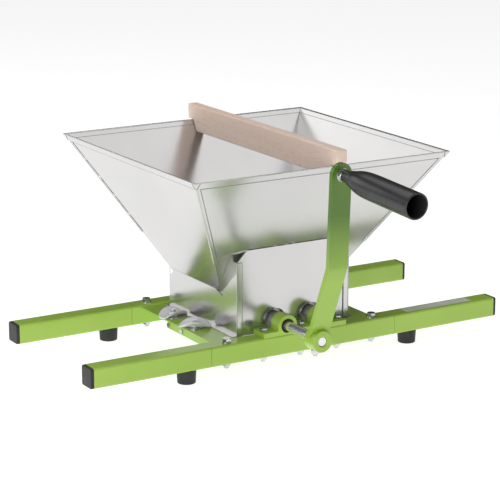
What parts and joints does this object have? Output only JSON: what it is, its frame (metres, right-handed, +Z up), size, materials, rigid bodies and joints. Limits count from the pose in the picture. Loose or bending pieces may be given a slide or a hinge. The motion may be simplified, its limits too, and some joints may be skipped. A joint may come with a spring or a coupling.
{
  "type": "grape and fruit crusher",
  "caption": "Hand-cranked twin-roller fruit crusher: square funnel hopper on a two-rail frame with pull-on extension arms, meshed rollers, spinning grip and loose pusher bar.",
  "frame": {"origin": "bottom centre of the whole machine, on the plane that the four feet stand on", "axes": "+X along the two rails, +Y away from the crank, +Z up"},
  "size_m": [0.5928, 0.579, 0.2796],
  "materials": {
    "green_powder_coat": "lime green powder coat, satin gloss, fine orange peel",
    "zinc_steel": "zinc-plated steel tube",
    "black_plastic": "moulded black plastic, fine texture",
    "black_rubber": "moulded black rubber",
    "stainless_sheet": "fine-brushed stainless steel sheet",
    "bronze": "sintered bronze",
    "bright_shaft": "ground bright steel bar",
    "cast_aluminium": "machined aluminium",
    "collar_steel": "turned steel",
    "gear_steel": "hobbed steel, dark oiled",
    "pressed_zinc": "bright zinc-plated pressed sheet",
    "grip_plastic": "black plastic, satin",
    "beech": "planed unfinished beech",
    "label_film": "blank pale film label",
    "zinc_fasteners": "bright zinc-plated steel"
  },
  "bodies": {
    "frame_and_hopper": {"arm_bolts": "zinc_fasteners", "arm_nuts": "zinc_fasteners", "arm_spigots": "zinc_steel", "arm_washers": "zinc_fasteners", "bearing_bolts": "zinc_fasteners", "bearing_nuts": "zinc_fasteners", "end_caps": "black_plastic", "foot_screws": "zinc_fasteners", "front_bearing_bracket": "green_powder_coat", "front_bushes": "bronze", "front_funnel_sheet": "stainless_sheet", "front_left_arm": "green_powder_coat", "front_left_foot": "black_rubber", "front_panel": "stainless_sheet", "front_rail": "green_powder_coat", "front_right_arm": "green_powder_coat", "front_right_foot": "black_rubber", "hopper_studs": "zinc_fasteners", "label": "label_film", "left_cross_plate": "green_powder_coat", "left_funnel_sheet": "stainless_sheet", "left_guide_plate": "stainless_sheet", "left_panel": "stainless_sheet", "plate_screws": "zinc_fasteners", "rear_bearing_bracket": "green_powder_coat", "rear_bushes": "bronze", "rear_funnel_sheet": "stainless_sheet", "rear_left_arm": "green_powder_coat", "rear_left_foot": "black_rubber", "rear_panel": "stainless_sheet", "rear_rail": "green_powder_coat", "rear_right_arm": "green_powder_coat", "rear_right_foot": "black_rubber", "right_cross_plate": "green_powder_coat", "right_funnel_sheet": "stainless_sheet", "right_guide_plate": "stainless_sheet", "right_panel": "stainless_sheet"},
    "drive_rotor": {"drive_shaft": "bright_shaft", "drive_roller": "cast_aluminium", "drive_collars": "collar_steel", "drive_gear": "gear_steel", "drive_gear_screw": "zinc_fasteners", "crank_hub": "green_powder_coat", "hub_set_screw": "zinc_fasteners", "hub_lock_nut": "zinc_fasteners", "crank_arm": "green_powder_coat", "handle_bolt": "zinc_fasteners", "handle_nuts": "zinc_fasteners", "handle_washers": "zinc_fasteners"},
    "driven_rotor": {"driven_shaft": "bright_shaft", "driven_roller": "cast_aluminium", "driven_collars": "collar_steel", "driven_gear": "gear_steel", "driven_gear_screw": "zinc_fasteners"},
    "hand_grip": {"grip": "grip_plastic"},
    "pusher_bar": {"pusher_bar": "beech"},
    "left_front_wing_nut": {"left_front_wing_nut": "pressed_zinc"},
    "left_rear_wing_nut": {"left_rear_wing_nut": "pressed_zinc"},
    "right_front_wing_nut": {"right_front_wing_nut": "pressed_zinc"},
    "right_rear_wing_nut": {"right_rear_wing_nut": "pressed_zinc"}
  },
  "joints": [
    {"name": "crank_turn", "type": "hinge", "parent": "frame_and_hopper", "child": "drive_rotor", "pos_m": [-0.02625, -0.10333, 0.0535], "axis": [0, -1, 0], "continuous": true},
    {"name": "driven_roller_turn", "type": "hinge", "parent": "frame_and_hopper", "child": "driven_rotor", "pos_m": [0.02625, -0.10333, 0.0535], "axis": [0, -1, 0], "continuous": true},
    {"name": "grip_spin", "type": "hinge", "parent": "drive_rotor", "child": "hand_grip", "pos_m": [-0.02625, -0.14689, 0.2655], "axis": [0, -0.9986, -0.0523], "continuous": true},
    {"name": "pusher_bar_lift", "type": "slide", "parent": "frame_and_hopper", "child": "pusher_bar", "axis": [0, 0, 1], "range_m": [0, 0.15]},
    {"name": "left_rear_wing_nut_turn", "type": "hinge", "parent": "frame_and_hopper", "child": "left_rear_wing_nut", "pos_m": [-0.1057, 0.12367, 0.041], "axis": [0, 0, 1], "continuous": true},
    {"name": "left_front_wing_nut_turn", "type": "hinge", "parent": "frame_and_hopper", "child": "left_front_wing_nut", "pos_m": [-0.1057, 0.06767, 0.041], "axis": [0, 0, 1], "continuous": true},
    {"name": "right_rear_wing_nut_turn", "type": "hinge", "parent": "frame_and_hopper", "child": "right_rear_wing_nut", "pos_m": [0.1057, 0.12367, 0.041], "axis": [0, 0, 1], "continuous": true},
    {"name": "right_front_wing_nut_turn", "type": "hinge", "parent": "frame_and_hopper", "child": "right_front_wing_nut", "pos_m": [0.1057, 0.06767, 0.041], "axis": [0, 0, 1], "continuous": true}
  ],
  "couplings": [
    {"joint": "driven_roller_turn", "follows": "crank_turn", "ratio": -1}
  ]
}
